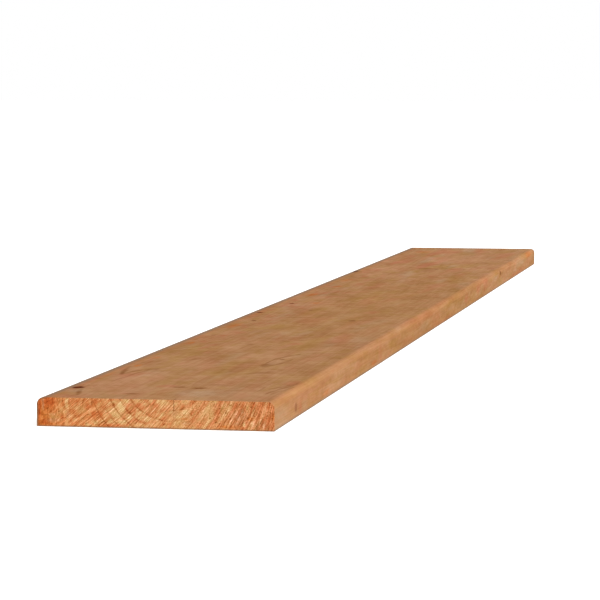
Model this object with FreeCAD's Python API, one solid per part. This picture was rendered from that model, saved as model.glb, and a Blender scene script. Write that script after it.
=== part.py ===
import FreeCAD, Part
import math
import os

# A planed softwood plank: one sawn and planed piece of timber, as it is sold by the length.
# Its two long upper edges are rounded over with a moulding cutter, its two long lower edges are only
# just broken, and both ends are cut square across. One end has a small drying check: the crack that
# opens in the upper face, just below the heart of the tree, as the end grain dries.
# Frame, in millimetres: X across the width, Y along the length, Z up. The origin is the middle of
# the underside. The checked end is at -Y.

# The planed section and the length it is cut to
LENGTH = 1800.0
WIDTH = 169.0
THICKNESS = 20.5

# The long edges
UPPER_ROUND = 5.0
LOWER_ARRIS = 0.6

# The drying check in the near end
CHECK_FROM_MIDDLE = 13.6
CHECK_DEPTH = 8.0
CHECK_RUN = 9.0
CHECK_WIDTH = 0.5
CHECK_OVERCUT = 3.0


def rounded_corner(y_end, centre_x, centre_z, radius, start_deg):
    """A quarter circle in the section, turning anticlockwise from start_deg as seen from the near end."""
    points = []
    for angle in (start_deg, start_deg + 45.0, start_deg + 90.0):
        turn = math.radians(angle)
        points.append(FreeCAD.Vector(
            centre_x + radius * math.cos(turn),
            y_end,
            centre_z + radius * math.sin(turn),
        ))
    return Part.Arc(*points).toShape()


def planed_section(y_end):
    """The closed outline that the planer leaves: four corner arcs with straight faces between them."""
    side = WIDTH / 2
    corners = [
        rounded_corner(y_end, side - LOWER_ARRIS, LOWER_ARRIS, LOWER_ARRIS, 270.0),
        rounded_corner(y_end, side - UPPER_ROUND, THICKNESS - UPPER_ROUND, UPPER_ROUND, 0.0),
        rounded_corner(y_end, UPPER_ROUND - side, THICKNESS - UPPER_ROUND, UPPER_ROUND, 90.0),
        rounded_corner(y_end, LOWER_ARRIS - side, LOWER_ARRIS, LOWER_ARRIS, 180.0),
    ]
    edges = []
    for index, corner in enumerate(corners):
        following = corners[(index + 1) % len(corners)]
        face_line = Part.makeLine(corner.lastVertex().Point, following.firstVertex().Point)
        edges += [corner, face_line]
    return Part.Face(Part.Wire(edges))


def drying_check(y_end):
    """The V of the check. Its sharp root runs up from the end face and comes out on the upper face, so
    the crack is widest at the corner between the two and closes to nothing down and along the board."""
    root_low = FreeCAD.Vector(CHECK_FROM_MIDDLE, y_end, THICKNESS - CHECK_DEPTH)
    root_high = FreeCAD.Vector(CHECK_FROM_MIDDLE, y_end + CHECK_RUN, THICKNESS)
    along_root = (root_high - root_low).normalize()
    out_of_wood = FreeCAD.Vector(0, -along_root.z, along_root.y)
    root_to_corner = CHECK_DEPTH * CHECK_RUN / math.hypot(CHECK_DEPTH, CHECK_RUN)
    reach = root_to_corner + CHECK_OVERCUT
    half_mouth = CHECK_WIDTH / 2 * reach / root_to_corner
    tip = root_low - along_root * CHECK_OVERCUT
    mouth = tip + out_of_wood * reach
    sideways = FreeCAD.Vector(half_mouth, 0, 0)
    outline = Part.makePolygon([tip, mouth - sideways, mouth + sideways, tip])
    root_length = math.hypot(CHECK_DEPTH, CHECK_RUN) + 2 * CHECK_OVERCUT
    return Part.Face(outline).extrude(along_root * root_length)


def make_plank():
    """The planed board, cut to length and centred on the origin, with the check opened in its near end."""
    near_end = -LENGTH / 2
    board = planed_section(near_end).extrude(FreeCAD.Vector(0, LENGTH, 0))
    return board.cut(drying_check(near_end))


os.makedirs("parts", exist_ok=True)
plank = make_plank()
plank.exportStep("parts/plank.step")
print("plank: valid", plank.isValid(), "solids", len(plank.Solids), "volume mm3", round(plank.Volume, 1))
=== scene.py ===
import math

import bpy
import numpy as np
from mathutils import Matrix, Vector, noise


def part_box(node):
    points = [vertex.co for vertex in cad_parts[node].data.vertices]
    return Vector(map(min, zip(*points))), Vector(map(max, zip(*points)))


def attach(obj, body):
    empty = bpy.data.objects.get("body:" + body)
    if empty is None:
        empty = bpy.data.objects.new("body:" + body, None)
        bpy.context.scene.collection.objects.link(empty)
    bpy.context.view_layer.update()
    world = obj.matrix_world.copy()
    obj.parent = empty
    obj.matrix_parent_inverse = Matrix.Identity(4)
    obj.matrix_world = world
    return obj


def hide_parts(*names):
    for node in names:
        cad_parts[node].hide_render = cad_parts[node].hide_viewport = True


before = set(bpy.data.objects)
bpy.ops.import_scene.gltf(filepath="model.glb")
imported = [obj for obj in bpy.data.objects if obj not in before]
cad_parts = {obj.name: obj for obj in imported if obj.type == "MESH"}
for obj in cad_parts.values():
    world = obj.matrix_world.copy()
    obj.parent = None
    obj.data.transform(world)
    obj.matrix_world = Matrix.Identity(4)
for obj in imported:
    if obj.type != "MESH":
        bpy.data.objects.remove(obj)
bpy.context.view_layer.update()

# The plank
# One piece of planed softwood, cut flat from just below the heart of a fast-grown log. The planer left
# flat faces, rounded the two upper long edges and only broke the lower two, and a circular saw cut both
# ends square. Lengths are millimetres: x across, y along from the near end, z up from the underside.

MM = 0.001
plank_low, plank_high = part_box("plank")
HALF_WIDTH = plank_high.x / MM
LENGTH = (plank_high.y - plank_low.y) / MM
THICKNESS = plank_high.z / MM
NEAR_END = plank_low.y / MM
UPPER_ROUND = 5.0
LOWER_ARRIS = 0.6

# How the log grew
# The heart runs about 20 mm above the upper face and wanders a little along the board. The rings round
# it are 4 to 6 mm wide, and wider on the left, where the trunk leaned.

HEART_X = 11.0
HEART_Z = 40.5


class Reading:
    """A number or place that varies over the wood, worked out by shader nodes. The formulas below take
    either Readings, to colour the wood, or numpy arrays, to shape its mesh."""

    def __init__(self, tree, socket):
        self.tree = tree
        self.socket = socket

    def __add__(self, other):
        return calc("ADD", self, other)

    def __radd__(self, other):
        return calc("ADD", other, self)

    def __sub__(self, other):
        return calc("SUBTRACT", self, other)

    def __rsub__(self, other):
        return calc("SUBTRACT", other, self)

    def __mul__(self, other):
        return calc("MULTIPLY", self, other)

    def __rmul__(self, other):
        return calc("MULTIPLY", other, self)

    def __truediv__(self, other):
        return calc("DIVIDE", self, other)

    def __rtruediv__(self, other):
        return calc("DIVIDE", other, self)


def feed(tree, socket, value):
    """Links a Reading to a node's socket, or sets the socket to a plain value."""
    if isinstance(value, Reading):
        tree.links.new(value.socket, socket)
    elif isinstance(value, bpy.types.NodeSocket):
        tree.links.new(value, socket)
    else:
        socket.default_value = value


def calc(operation, *values):
    """One Math node."""
    tree = next(value.tree for value in values if isinstance(value, Reading))
    node = tree.nodes.new("ShaderNodeMath")
    node.operation = operation
    for socket, value in zip(node.inputs, values):
        feed(tree, socket, value)
    return Reading(tree, node.outputs[0])


def sine(value):
    return calc("SINE", value) if isinstance(value, Reading) else np.sin(value)


def root(value):
    return calc("SQRT", value) if isinstance(value, Reading) else np.sqrt(value)


def greater(value, other):
    return calc("MAXIMUM", value, other) if isinstance(value, Reading) else np.maximum(value, other)


def heart_line(y):
    """Where the heart passes, at this distance from the near end."""
    across = HEART_X + 10.0 * sine(y / 430.0) - 3.0 * sine(y / 150.0)
    up = HEART_Z + 3.5 * sine(y / 350.0) - 3.5 * sine(y / 122.0)
    return across, up


def ring_count(x, y, z, pushed):
    """How many years old the wood is here. pushed is how far a knot has moved the rings, in mm."""
    across, up = heart_line(y)
    dx = x - across
    dz = z - up
    radius = root(dx * dx + dz * dz)
    lean = greater(radius - 46.0, 0.0) * 0.11 * dx / radius
    t = radius + lean + pushed - 44.0
    return 5.385 + t * (t * 0.00107 + 0.1667), radius


# Knots that the faces cut through. Each is where a branch left the trunk: its middle, the way it runs
# into the wood, half its width, how dark it is, how far it pushes the rings aside and, where it isn't
# the usual KNOT_DEEP, how deep it goes.
KNOT_DEEP = 30.0
KNOTS = [
    dict(at=(-72.5, 65.9, 20.5), runs=(-0.30, 0.05, -1.0), half=3.2, dark=1.0, push=2.2),
    dict(at=(-64.0, 35.0, 20.5), runs=(-0.20, 0.10, -1.0), half=0.7, dark=0.45, push=0.3),
    dict(at=(-65.1, 486.0, 20.5), runs=(-0.30, 0.00, -1.0), half=1.5, dark=0.42, push=0.8),
    dict(at=(-60.1, 637.0, 20.5), runs=(-0.30, 0.10, -1.0), half=1.7, dark=0.65, push=1.2),
    dict(at=(-72.8, 727.0, 20.5), runs=(-0.25, 0.00, -1.0), half=2.2, dark=0.95, push=1.6),
    dict(at=(-62.4, 839.0, 20.5), runs=(-0.20, 0.10, -1.0), half=1.8, dark=0.85, push=1.6),
    dict(at=(-29.1, 761.0, 20.5), runs=(-0.20, 0.00, -1.0), half=1.7, dark=0.40, push=1.4),
    dict(at=(-77.4, 1314.0, 20.4), runs=(-0.20, 0.00, -1.0), half=3.2, dark=1.0, push=1.8),
    dict(at=(29.6, 651.0, 20.5), runs=(0.25, 0.00, -1.0), half=2.6, dark=0.50, push=2.4),
    dict(at=(34.2, 288.0, 20.5), runs=(0.25, 0.10, -1.0), half=1.5, dark=0.40, push=3.0),
    dict(at=(10.6, 1372.0, 20.5), runs=(0.10, 0.00, -1.0), half=2.2, dark=0.50, push=1.0),
    dict(at=(84.5, 79.0, 7.6), runs=(-1.0, -0.05, 0.10), half=2.6, dark=0.32, push=1.2, deep=14.0),
    dict(at=(84.5, 1392.0, 15.6), runs=(-1.0, 0.00, 0.10), half=2.0, dark=0.60, push=1.5, deep=14.0),
]

# Where the wood is richer, paler or darker than the rest: two coordinates of the middle, half the size
# each way, and how much. On the upper face they are x and y, on the right edge y and z, on the sawn
# near end x and z.
UPPER_PATCHES = {
    "dark": [
        (-1, 78.6, 5.5, 4.2, 0.5), (15, 75, 5, 4.4, 0.7), (23.7, 98.5, 7, 4.2, 0.3),
        (-23.9, 32, 5, 3.8, 0.45), (-64.6, 161, 1.7, 5, 0.62), (-65.8, 170, 1.8, 7, 0.62),
        (-67.3, 181, 1.7, 8, 0.52), (-69.2, 194, 1.4, 9, 0.42), (-71.4, 208, 1.1, 10, 0.3),
        (29, 243, 3.2, 12, 0.45), (37, 186, 7, 7, 0.25), (-33.6, 280, 4, 7, 0.28),
        (-16, 406.5, 3.5, 7, 0.28), (60.5, 75, 1.2, 14, 0.25), (-1.5, 1374, 11, 9, 0.6),
        (3.1, 1341, 10, 8, 0.4), (53, 1497, 6, 9, 0.34), (77, 1549, 5, 12, 0.22),
        (-72, 1720, 10, 50, 0.15), (-77.4, 1314, 2.2, 16, 1.6),
    ],
    "red": [
        (-11, 84, 8, 9, 0.9), (-70, 8, 20, 16, 0.8), (-31, 30, 8, 6, 0.5), (21.2, 418, 6, 10, 0.8),
        (75, 118, 6, 16, 0.8), (48, 470, 9, 40, 0.6), (-66, 757, 3, 12, 0.7), (-48, 650, 9, 24, 0.5),
        (-62, 440, 14, 50, 0.4), (33.6, 745, 7, 16, 0.8), (-64, 1302, 6, 14, 0.8),
        (-40, 830, 16, 60, 0.4), (45, 1109, 12, 30, 0.5), (-16, 1572, 9, 26, 0.8),
        (60, 1640, 16, 60, 0.6), (-15, 1700, 12, 34, 0.9), (-58, 1610, 12, 36, 0.5),
    ],
    "pink": [
        (-48, 96, 22, 60, 0.9), (-34, 40, 12, 14, 0.8), (-70, 88, 6, 12, 1), (-56, 520, 7, 20, 0.5),
        (-43, 1375, 16, 40, 0.9), (-54, 1290, 12, 60, 0.6), (-50, 919, 6, 24, 0.6),
        (16, 1560, 26, 90, 0.7), (-74, 1480, 10, 90, 0.7), (8, 1180, 14, 40, 0.6),
    ],
    "olive": [
        (25, 780, 50, 330, 0.38), (25, 960, 46, 260, 0.34), (40, 1440, 12, 40, 0.6),
        (-69.6, 118, 2.6, 26, 1), (-19, 580, 16, 24, 0.6), (60, 1180, 14, 60, 0.6),
    ],
    "orange": [
        (-72, 152, 2, 20, 0.55), (-67, 222, 2.8, 10, 1), (-67.6, 284, 3.2, 9, 0.8),
        (-68.4, 412, 2.4, 10, 1), (-66.8, 582, 4.5, 24, 0.9), (-63, 955, 5, 22, 0.8),
        (-39.5, 848, 5, 10, 0.7), (-57, 1075, 5, 14, 0.7), (-64, 1172, 6, 20, 0.6),
        (-50, 1700, 10, 24, 0.6),
    ],
    "grey": [
        (-70, 46, 7, 12, 0.9), (22, 44, 17, 20, 1),
    ],
}
EDGE_PATCHES = {
    "grey": [
        (18, 6, 30, 8, 0.5), (112, 4, 14, 6, 0.5), (740, 9, 30, 4, 0.6), (1190, 8, 16, 3, 0.6),
        (1626, 13, 46, 4, 0.9), (1400, 5, 120, 5, 0.4),
    ],
    "olive": [
        (780, 9, 260, 12, 0.45), (1060, 9, 200, 12, 0.45), (100, 10, 150, 12, 0.4), (14, 17, 14, 4, 0.6),
        (128, 2.5, 7, 3, 0.7), (186, 6, 8, 3, 0.6), (538, 11, 34, 4, 0.9), (1000, 8, 20, 6, 0.6),
        (1385, 9, 10, 6, 0.9),
    ],
    "red": [
        (96, 6, 5, 5, 0.7), (470, 9, 9, 7, 0.6), (820, 9, 40, 6, 0.5), (1065, 11, 16, 5, 0.9),
        (1172, 12, 16, 4, 1), (1240, 13, 22, 6, 0.7),
    ],
    "orange": [
        (205, 4.5, 16, 2.5, 0.6), (435, 4.3, 14, 2, 0.8), (1725, 18, 36, 4, 0.9),
    ],
}
SAWN_PATCHES = {
    "red": [
        (-75.4, 17.4, 4.6, 3, 1), (-82.8, 10.5, 1.3, 9, 1), (-78.6, 3.4, 3, 2, 0.8),
        (-56, 17.6, 5, 1.6, 0.5), (-47, 14.6, 3, 2, 0.7), (-41.5, 9.8, 4.2, 2, 0.7),
        (-36.5, 14, 3.6, 1.6, 0.65), (-42.4, 18.4, 1.8, 1.6, 0.9), (-31, 1.6, 8, 1.1, 0.8),
        (-44.5, 17.4, 1.2, 2.2, 0.6), (-72.5, 11, 3, 3, 0.35), (-66.5, 6.4, 1.6, 1.6, 0.5),
        (-19.8, 12.8, 1.5, 1.6, 0.8), (-10.5, 15.6, 4.6, 2, 0.3), (41, 17.5, 2.8, 1.6, 0.5),
        (43.5, 12.2, 2.4, 1.6, 0.5), (56.8, 17.4, 2.2, 2.4, 0.6), (70, 17.4, 1.6, 2, 0.7),
        (80.6, 17, 2.4, 2.6, 0.6), (80.6, 6, 2.4, 4, 0.3), (33, 11, 6, 7, 0.22),
        (83.6, 4.5, 0.9, 4.5, 0.3),
    ],
    "grey": [
        (-79.9, 16.5, 0.8, 4.6, 0.9), (-61.8, 9, 1.2, 3, 0.6), (-72.5, 4.4, 5, 1.6, 0.8),
        (61.6, 13.4, 1.6, 2.4, 0.9), (-15, 0.8, 10, 0.8, 0.6), (23, 4.4, 3.4, 0.9, 0.6),
        (59, 4.8, 3.6, 1.2, 0.6), (60, 9.5, 6, 4, 0.55), (74, 4, 6, 3, 0.55), (14, 11.5, 2.4, 3, 0.5),
    ],
    "dark": [
        (-77.2, 13, 1.3, 0.9, 0.55), (-78.6, 8.3, 2.4, 0.8, 0.45), (-82.6, 10.3, 0.9, 1.6, 0.45),
        (-60.4, 12.6, 0.45, 3.4, 0.45), (-61.3, 17.4, 0.35, 1.6, 0.6), (-66.1, 18.2, 0.5, 1, 0.5),
        (-44.6, 17.2, 0.45, 1.9, 0.9), (-50.9, 18, 0.45, 1.5, 0.8), (-76, 17.9, 1.4, 1, 0.35),
        (-29.4, 16.4, 0.9, 1.7, 0.9), (-31, 19, 0.4, 1.2, 0.7), (-30.2, 6.6, 0.8, 0.5, 0.6),
        (-17.4, 10.7, 1.1, 0.8, 0.9), (13.5, 12.9, 0.7, 0.7, 0.8), (19.6, 14, 1.9, 0.4, 0.85),
        (26.1, 10.2, 0.8, 0.7, 0.7), (21, 15.4, 0.9, 0.4, 0.6), (13.6, 8.2, 0.6, 0.6, 0.5),
        (31.6, 16.6, 0.7, 0.5, 0.6), (-9.4, 19.8, 0.8, 0.6, 0.5),
    ],
    "tan": [
        (-62.9, 15.4, 1.3, 4.6, 0.8), (-55.5, 13.5, 3.2, 1.4, 0.4), (-24.2, 14, 3.4, 4.2, 1),
        (-29.2, 9.6, 2.2, 2.2, 1), (-25.5, 9, 3, 3, 0.7), (17, 8.4, 3, 2, 1), (22, 10, 3, 2.8, 0.9),
        (-22.4, 4.4, 3.6, 1.4, 1), (-18, 8, 2.4, 2.4, 0.3), (-41.8, 3.4, 2.2, 1.3, 0.9),
        (-47.2, 1.9, 2.4, 0.9, 0.8), (-31.5, 4.6, 2.4, 1.5, 0.7), (-10.6, 7.6, 3.2, 1.6, 0.6),
        (-5.4, 6.6, 2.6, 2.2, 0.7), (-20.6, 19.2, 2.6, 1.5, 0.8), (6, 18.5, 4, 2, 0.7),
        (16.6, 8.4, 2.4, 1.8, 1), (22, 18.8, 2.8, 1.6, 0.6), (36, 12.2, 1.6, 1.3, 0.5),
        (33, 6.8, 3.4, 1.4, 0.4), (63.2, 4.2, 1.2, 1.6, 0.9), (69, 4.4, 1.4, 1.6, 0.5),
        (18, 6, 6, 7, 0.6), (-5, 2.4, 9, 1.8, 0.5), (49.6, 17, 1.8, 2.2, 0.6), (-73, 8.8, 2.4, 1.2, 0.6),
    ],
    "olive": [
        (-34, 13.4, 3.2, 1.2, 0.6), (-52.2, 11.6, 2.4, 2, 0.7), (47.6, 14.6, 1.1, 2.8, 1),
        (39.2, 12.4, 1.2, 2.4, 0.9), (65.8, 15.4, 1.3, 2.8, 1), (-25, 4, 3, 1, 0.7),
        (-19.6, 9.4, 0.9, 0.9, 0.8), (-72, 6.8, 4, 0.9, 0.8), (-66.4, 11, 2.6, 2.6, 0.7),
    ],
    "orange": [
        (21, 7.4, 3.4, 0.8, 0.6), (50.5, 2.6, 5.5, 1.1, 0.9), (67.6, 8.4, 2.4, 1.4, 0.9),
        (83.4, 9.8, 1, 2.2, 0.9), (-71, 3.4, 4, 1.4, 0.4),
    ],
    "plain": [
        (-36, 15, 3, 7, 1), (-31, 7, 2.6, 3.4, 1), (8, 15.5, 14, 4.2, 1), (-5, 19.6, 4, 2, 1),
        (-4, 10.4, 5, 2.6, 0.55), (-25, 1, 4, 2, 1), (-6, 3.6, 6, 2.4, 0.8),
    ],
}

# Single teeth that bit harder or skidded, on the sawn near end, given the same way: torn marks are pale,
# dark ones smooth
TOOTH_MARKS = {
    "torn": [
        (-78.7, 12.8, 0.7, 0.7, 0.55), (-74.6, 8.6, 0.5, 1.2, 0.5), (-73.6, 4.8, 0.8, 1.6, 0.55),
        (-71.2, 15.4, 0.6, 1.3, 0.7), (-69.4, 4.6, 0.7, 1.4, 0.45), (-68, 12.3, 0.6, 1, 0.6),
        (-66.5, 2.5, 0.6, 0.9, 0.55), (-65.5, 10.4, 0.5, 1, 0.55), (-64.3, 4.3, 0.7, 1, 0.75),
        (-61.5, 6.4, 0.6, 1.8, 0.6), (-60.2, 18.4, 0.9, 0.9, 0.55), (-57.4, 3.2, 0.45, 2, 0.7),
        (-54.6, 12.4, 0.4, 2.8, 0.5), (-54.5, 6, 1, 1, 0.75), (-51.8, 7.4, 0.9, 2, 0.75),
        (-50.6, 9, 0.45, 5.4, 0.95), (-48.9, 4.2, 0.45, 2.4, 0.8), (-45.3, 6.4, 0.45, 2.4, 0.8),
        (-45.2, 2.9, 0.45, 1.6, 0.7), (-43.2, 2, 0.8, 1, 0.75), (-40, 5.5, 0.5, 1, 0.75),
        (-37.6, 2.9, 0.6, 0.8, 0.6), (-35.4, 9, 0.7, 1.8, 0.8), (-31, 12.3, 0.8, 2.6, 0.95),
        (-24.8, 17.6, 0.7, 1, 0.9), (-18.4, 17.6, 0.5, 1.6, 0.65), (-17.8, 7.8, 0.8, 1.2, 0.8),
        (-15.6, 6.2, 0.4, 1.1, 0.75), (-13.1, 5.4, 0.4, 1.1, 0.65), (-9.4, 16.2, 0.9, 1.1, 0.8),
        (-5.8, 7.5, 0.4, 1.9, 0.8), (-4, 6.6, 0.4, 1.8, 0.7), (-1.6, 17.9, 0.5, 1.8, 0.8),
        (1.9, 6.2, 0.8, 0.8, 0.75), (3.9, 8.6, 0.5, 1.2, 0.75), (6.8, 12.8, 0.4, 1.3, 0.95),
        (8.8, 14.9, 0.4, 1.5, 0.65), (12.2, 14.2, 0.8, 0.8, 0.9), (15.2, 16.5, 0.5, 1.8, 0.5),
        (33.6, 15.5, 0.8, 1.8, 0.6), (36, 12.2, 1.3, 1.1, 0.7), (43.8, 16.8, 0.6, 0.9, 0.6),
        (46, 10.6, 1.2, 0.5, 0.7), (47.4, 17.8, 0.45, 1.4, 0.7), (49.2, 7.8, 0.5, 1.3, 0.8),
        (52.6, 14.6, 0.45, 2.3, 0.85), (53.8, 6.6, 0.8, 2.2, 0.5), (57.8, 12, 0.5, 2.2, 0.7),
        (59.4, 8.4, 0.9, 2.4, 0.75), (60, 15.5, 0.9, 0.5, 0.8), (63.4, 6.2, 0.5, 1.5, 0.85),
        (65, 16.6, 0.7, 2.8, 0.6), (68.7, 5.2, 0.7, 1.5, 0.45), (70.2, 18, 0.5, 0.9, 0.6),
        (73.2, 16.2, 0.6, 3.6, 0.75), (74.4, 7.6, 0.45, 2, 0.7), (77, 4, 0.45, 2.4, 0.6),
        (77.8, 17.6, 0.6, 2.4, 0.75), (82.5, 14.4, 0.4, 2.6, 0.75),
    ],
    "dark": [
        (-68.5, 10.7, 0.6, 0.6, 0.6), (-66.2, 6.2, 0.9, 0.8, 0.4), (-65.1, 2.6, 0.6, 0.5, 0.6),
        (-59, 14.8, 0.6, 1.2, 0.35), (-57.8, 7, 0.45, 1.6, 0.65), (-57.2, 1.1, 0.8, 1.2, 0.7),
        (-53.2, 8.9, 0.6, 0.6, 0.7), (-49, 2.7, 0.6, 0.8, 0.65), (-47.6, 9.1, 0.8, 0.6, 0.75),
        (-46.2, 0.8, 0.8, 0.8, 0.65), (-42.3, 2.3, 0.5, 0.5, 0.6), (-37.4, 4, 0.8, 0.8, 0.75),
        (-21.8, 6.9, 0.9, 0.6, 0.6), (-13.8, 3.8, 0.5, 0.5, 0.5), (-8.1, 4.6, 0.6, 0.5, 0.6),
        (-6, 10.4, 0.7, 0.5, 0.6), (-1, 16.8, 0.6, 0.7, 0.45), (0.8, 7.6, 1.1, 0.9, 0.45),
        (4.5, 12.4, 0.5, 1.1, 0.65), (6.4, 3.2, 0.9, 0.8, 0.65), (7.4, 10.6, 0.8, 0.6, 0.4),
        (10.4, 9.2, 0.7, 2.6, 0.4), (39.2, 8.2, 0.9, 0.6, 0.75), (41.5, 19.8, 0.9, 0.6, 0.6),
        (43.1, 5.5, 1.1, 0.6, 0.75), (46, 15.2, 0.8, 0.7, 0.8), (50.4, 12.8, 0.5, 1.6, 0.75),
        (53.4, 8.4, 0.5, 1, 0.7), (53.6, 2.6, 0.7, 0.6, 0.6), (53.6, 17.6, 1.1, 0.5, 0.7),
        (56.6, 13, 0.45, 1.4, 0.6), (59.6, 18.1, 0.45, 1, 0.7), (62.1, 5.6, 0.6, 0.7, 0.8),
        (62.9, 7.4, 0.45, 0.8, 0.75), (65.7, 8.8, 0.8, 0.9, 0.8), (68.2, 16.7, 0.7, 0.7, 0.95),
        (70.3, 10.4, 0.6, 0.6, 0.65),
    ],
}

# Single rings that come up through the upper face as thin brown lines: the x and y of the points that
# each passes, and how dark it is. The face cuts them so aslant that they are longer than wide.
LINE_STRETCH = 7
RING_LINES = [
    dict(points=[(-63.0, 158.0), (-61.0, 178.0), (-54.0, 192.0), (-46.0, 199.0)], much=0.40),
    dict(points=[(-58.5, 115.0), (-56.0, 137.0), (-55.0, 164.0), (-51.0, 184.0)], much=0.32),
    dict(points=[(-59.9, 22.0), (-62.3, 30.0), (-64.3, 37.0), (-66.6, 51.0)], much=0.52),
    dict(points=[(-64.3, 37.0), (-68.0, 43.0)], much=0.22),
    dict(points=[(27.5, 258.0), (28.0, 288.0), (33.0, 310.0), (40.0, 330.0)], much=0.42),
    dict(points=[(29.5, 232.0), (36.0, 245.0), (40.5, 264.0), (42.0, 284.0)], much=0.42),
    dict(points=[(27.0, 180.0), (37.0, 184.0), (45.0, 196.0)], much=0.26),
    dict(points=[(69.0, 52.0), (73.0, 80.0), (76.0, 93.0), (79.0, 112.0)], much=0.36),
    dict(points=[(66.0, 78.0), (72.0, 96.0), (78.0, 114.0)], much=0.30),
    dict(points=[(73.0, 48.0), (77.0, 70.0), (80.0, 90.0)], much=0.20),
]

# How it was shaped
# The planer's outline is followed round in even steps, with closer steps near the ends, where the saw
# marks and the check need them, and the rows across the board stand closer together at the knots.

COARSE = 3
ROUND_STEPS = 9
FLAT_STEPS = 306
EDGE_STEPS = 30
ARRIS_STEPS = 3
ACROSS = 2 * ROUND_STEPS + FLAT_STEPS
DOWN = ROUND_STEPS + EDGE_STEPS + ARRIS_STEPS
AROUND = 2 * (ACROSS + DOWN)

CHECK_X = 13.6
CHECK_DEPTH = 8.0
CHECK_RUN = 9.0
CHECK_WIDTH = 0.5
CHECK_FOOT = THICKNESS - CHECK_DEPTH
CHECK_LEAST = 0.03
NEAR_ROWS = [0.0, 0.3, 0.8, 1.5, 2.4, 3.4, 4.6, 5.8, 7.0, 8.0, 9.0, 10.2, 12.0, 14.5, 18.0]
FAR_ROWS = [18.0, 9.0, 4.0, 1.5, 0.4, 0.0]
PLAIN_ROWS = 190


def arc(centre_x, centre_z, radius, start, turn, steps):
    """Points along an arc in the section, angles in degrees."""
    angles = np.radians(start + turn * np.arange(steps + 1) / steps)
    return np.stack([centre_x + radius * np.cos(angles), centre_z + radius * np.sin(angles)], 1)


def joined(*runs):
    """Runs of points that share their ends, as one run."""
    return np.concatenate([runs[0]] + [run[1:] for run in runs[1:]])


def straight(start, end, steps):
    return start + (end - start) * (np.arange(steps + 1) / steps)[:, None]


def planed_outline():
    """The section's upper, right, lower and left runs. The upper and lower go left to right, the others
    downwards, and they meet halfway round the corners."""
    upper_x, upper_z = HALF_WIDTH - UPPER_ROUND, THICKNESS - UPPER_ROUND
    lower_x, lower_z = HALF_WIDTH - LOWER_ARRIS, LOWER_ARRIS
    upper_left = arc(-upper_x, upper_z, UPPER_ROUND, 135, -45, ROUND_STEPS)
    upper_right = arc(upper_x, upper_z, UPPER_ROUND, 90, -45, ROUND_STEPS)
    right_top = arc(upper_x, upper_z, UPPER_ROUND, 45, -45, ROUND_STEPS)
    right_foot = arc(lower_x, lower_z, LOWER_ARRIS, 0, -45, ARRIS_STEPS)
    lower_left = arc(-lower_x, lower_z, LOWER_ARRIS, 225, 45, ARRIS_STEPS)
    lower_right = arc(lower_x, lower_z, LOWER_ARRIS, 270, 45, ARRIS_STEPS)
    upper = joined(upper_left, straight(upper_left[-1], upper_right[0], FLAT_STEPS), upper_right)
    right = joined(right_top, straight(right_top[-1], right_foot[0], EDGE_STEPS), right_foot)
    lower_steps = ACROSS - 2 * ARRIS_STEPS
    lower = joined(lower_left, straight(lower_left[-1], lower_right[0], lower_steps), lower_right)
    left = right * (-1, 1)
    return upper, right, lower, left


upper_run, right_run, lower_run, left_run = planed_outline()
check_column = COARSE * int(round((CHECK_X + HALF_WIDTH) / (2 * HALF_WIDTH) * ACROSS / COARSE))
for run in (upper_run, lower_run):
    near_check = np.exp(-((run[:, 0] - run[check_column, 0]) / 12.0) ** 2)
    run[:, 0] += (CHECK_X - run[check_column, 0]) * near_check

# The outline as one loop, clockwise as seen from the near end, with the way that each point faces
loop = np.concatenate([upper_run, right_run[1:], lower_run[-2::-1], left_run[-2:0:-1]])
ahead = np.roll(loop, -1, 0) - loop
behind = loop - np.roll(loop, 1, 0)
tangent = ahead / np.linalg.norm(ahead, axis=1)[:, None]
tangent = tangent + behind / np.linalg.norm(behind, axis=1)[:, None]
facing = np.stack([-tangent[:, 1], tangent[:, 0]], 1)
facing /= np.linalg.norm(facing, axis=1)[:, None]
loop_length = np.concatenate([[0.0], np.cumsum(np.linalg.norm(ahead, axis=1))])


def rows_along():
    """How far each row stands from the near end, and whether it has all the outline's points."""
    start, end = NEAR_ROWS[-1], LENGTH - FAR_ROWS[0]
    fine = np.linspace(start, end, 4000)
    crowd = np.full(fine.shape, 1.0)
    for knot in KNOTS:
        crowd += 1.6 * np.exp(-((fine - knot["at"][1]) / (3.0 * knot["half"])) ** 2)
    total = np.concatenate([[0.0], np.cumsum((crowd[1:] + crowd[:-1]) / 2)])
    plain = np.interp(np.linspace(0, total[-1], PLAIN_ROWS + 2)[1:-1], total, fine)
    far = [LENGTH - back for back in FAR_ROWS]
    places = NEAR_ROWS + list(plain) + far
    full = [True] * len(NEAR_ROWS) + [False] * len(plain) + [True] * len(far)
    return places, full


def smooth_noise(points, size, seed):
    """Even lumps of about this size, between -1 and 1, at points given in mm."""
    at = points / size
    return np.array([noise.noise(Vector(p) + Vector((seed, 0.0, 0.0))) for p in at])


def steps_between(low, high, value):
    """0 up to low, 1 from high on, and a smooth rise between."""
    t = np.clip((value - low) / (high - low), 0.0, 1.0)
    return t * t * (3 - 2 * t)


def dished_at_knots(points):
    """How far the faces have sunk round the knots, which shrink more than the wood about them."""
    sunk = np.zeros(len(points))
    for knot in KNOTS:
        runs = np.array(knot["runs"]) / np.linalg.norm(knot["runs"])
        off = points - knot["at"]
        off -= (off @ runs)[:, None] * runs
        out = np.linalg.norm(off * (1, 0.6, 1), axis=1) / knot["half"]
        close = np.linalg.norm(points - knot["at"], axis=1) < 12 * knot["half"]
        sunk += close * knot["dark"] * 0.16 * (np.exp(-((out - 1.1) / 0.45) ** 2) + 0.5 * np.exp(-out**2))
    return sunk


# The saw at the ends
# The teeth came up through the wood leaning over to the right, more steeply as the cut went on, and left
# a mark every 2.5 to 4 mm. Summer wood stands a little proud of the spring wood that tore out beside it.


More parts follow.
